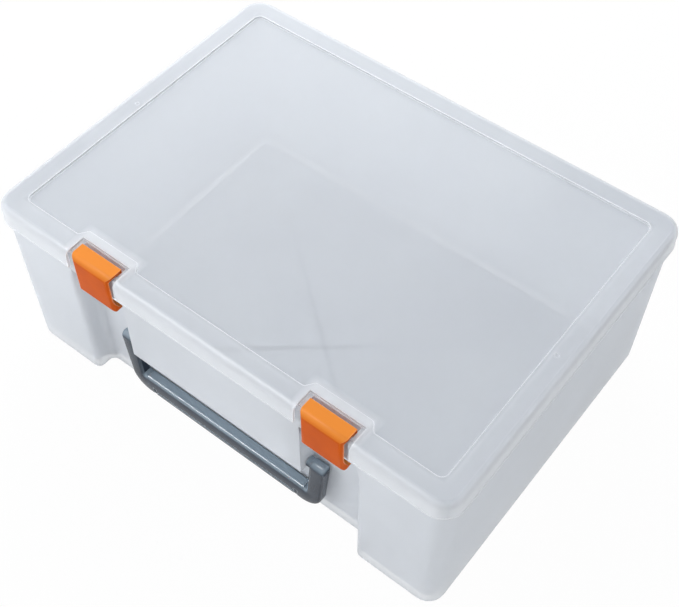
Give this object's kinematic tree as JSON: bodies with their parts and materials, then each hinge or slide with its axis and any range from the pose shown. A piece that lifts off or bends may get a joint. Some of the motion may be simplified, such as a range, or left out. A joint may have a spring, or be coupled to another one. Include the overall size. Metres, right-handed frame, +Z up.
{
  "type": "photo keeper case",
  "caption": "Translucent moulded storage case with a recessed front, a hinged lid held by swing latches and a swinging bail handle; empty.",
  "frame": {"origin": "on the plane of the foot ring, at z = 0, below the middle of the lid's rectangle (the hinge knuckles behind it are not counted)", "axes": "+Z up; -Y is the front, where the latches and the handle are; +X runs along the long side, to the right of someone facing the front"},
  "size_m": [0.37, 0.2774, 0.1418],
  "materials": {
    "tub_plastic": "natural translucent polypropylene, frosted",
    "lid_plastic": "natural translucent polypropylene, satin",
    "latch_plastic": "glossy orange plastic",
    "handle_plastic": "slate blue-grey plastic with a fine grain"
  },
  "bodies": {
    "case": {"tub": "tub_plastic"},
    "cover": {"lid": "lid_plastic"},
    "left_latch": {"latch_left": "latch_plastic"},
    "right_latch": {"latch_right": "latch_plastic"},
    "bail": {"handle": "handle_plastic"}
  },
  "joints": [
    {"name": "lid_hinge", "type": "hinge", "parent": "case", "child": "cover", "pos_m": [0, 0.1384, 0.1229], "axis": [-1, 0, 0], "range_deg": [0, 110]},
    {"name": "latch_left_hinge", "type": "hinge", "parent": "cover", "child": "left_latch", "pos_m": [-0.0936, -0.1244, 0.1372], "axis": [-1, 0, 0], "range_deg": [0, 90]},
    {"name": "latch_right_hinge", "type": "hinge", "parent": "cover", "child": "right_latch", "pos_m": [0.0936, -0.1244, 0.1372], "axis": [-1, 0, 0], "range_deg": [0, 90]},
    {"name": "handle_pivot", "type": "hinge", "parent": "case", "child": "bail", "pos_m": [0, -0.122, 0.0644], "axis": [-1, 0, 0], "range_deg": [0, 140]}
  ]
}
